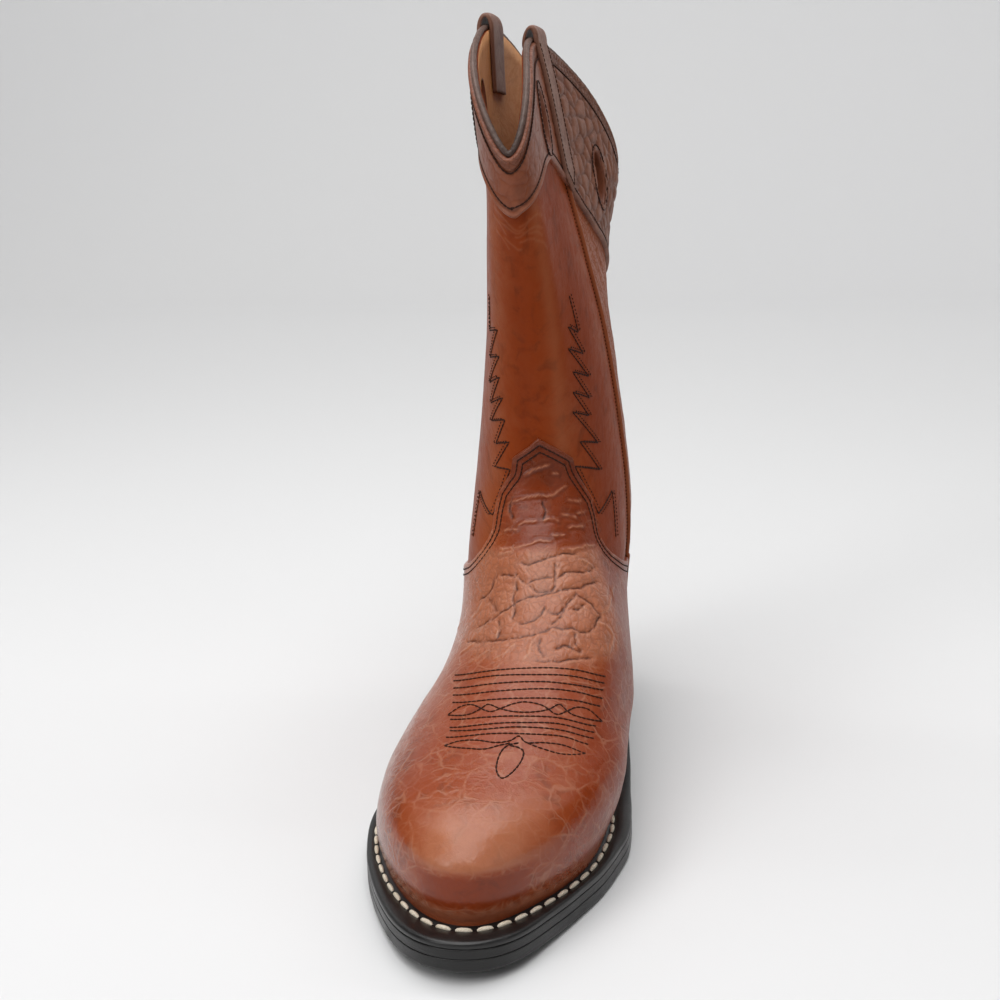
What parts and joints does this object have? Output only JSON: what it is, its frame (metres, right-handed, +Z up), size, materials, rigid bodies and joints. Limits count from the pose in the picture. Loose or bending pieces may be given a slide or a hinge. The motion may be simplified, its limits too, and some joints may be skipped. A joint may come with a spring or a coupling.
{
  "type": "western boot",
  "caption": "Right western boot: round-pointed toe, tongued vamp, short flattened shaft with a scalloped collar, finger holes and pull straps, black welted sole and block heel.",
  "frame": {"origin": "on the floor, in the middle of the boot's bounding box", "axes": "+Z up the shaft, -Y towards the toe, +X towards the inner side of the foot"},
  "size_m": [0.1052, 0.3062, 0.3351],
  "materials": {
    "shaft_leather": "smooth waxed, satin",
    "insole_board": "plain tan leather, matt",
    "midsole_black": "black edge dressing, satin",
    "outsole_black": "black, satin edge",
    "welt_black": "black edge dressing, satin",
    "heel_black": "stacked leather, black, satin",
    "lift_rubber": "black, matt",
    "vamp_leather": "grained with large cells, polished at the toe",
    "counter_leather": "grained with large cells, satin",
    "collar_front_leather": "smooth, lightly wrinkled",
    "collar_back_leather": "crinkled grain, satin",
    "pull_strap_medial_leather": "smooth, satin",
    "pull_strap_lateral_leather": "smooth, satin",
    "bead_leather": "rounded binding, worn grey"
  },
  "bodies": {
    "root": {"upper": "shaft_leather", "insole": "insole_board", "midsole": "midsole_black", "outsole": "outsole_black", "welt": "welt_black", "heel": "heel_black", "top_lift": "lift_rubber", "vamp": "vamp_leather", "counter": "counter_leather", "collar_front": "collar_front_leather", "collar_back": "collar_back_leather", "pull_strap_medial": "pull_strap_medial_leather", "pull_strap_lateral": "pull_strap_lateral_leather", "collar_bead": "bead_leather"}
  },
  "joints": []
}
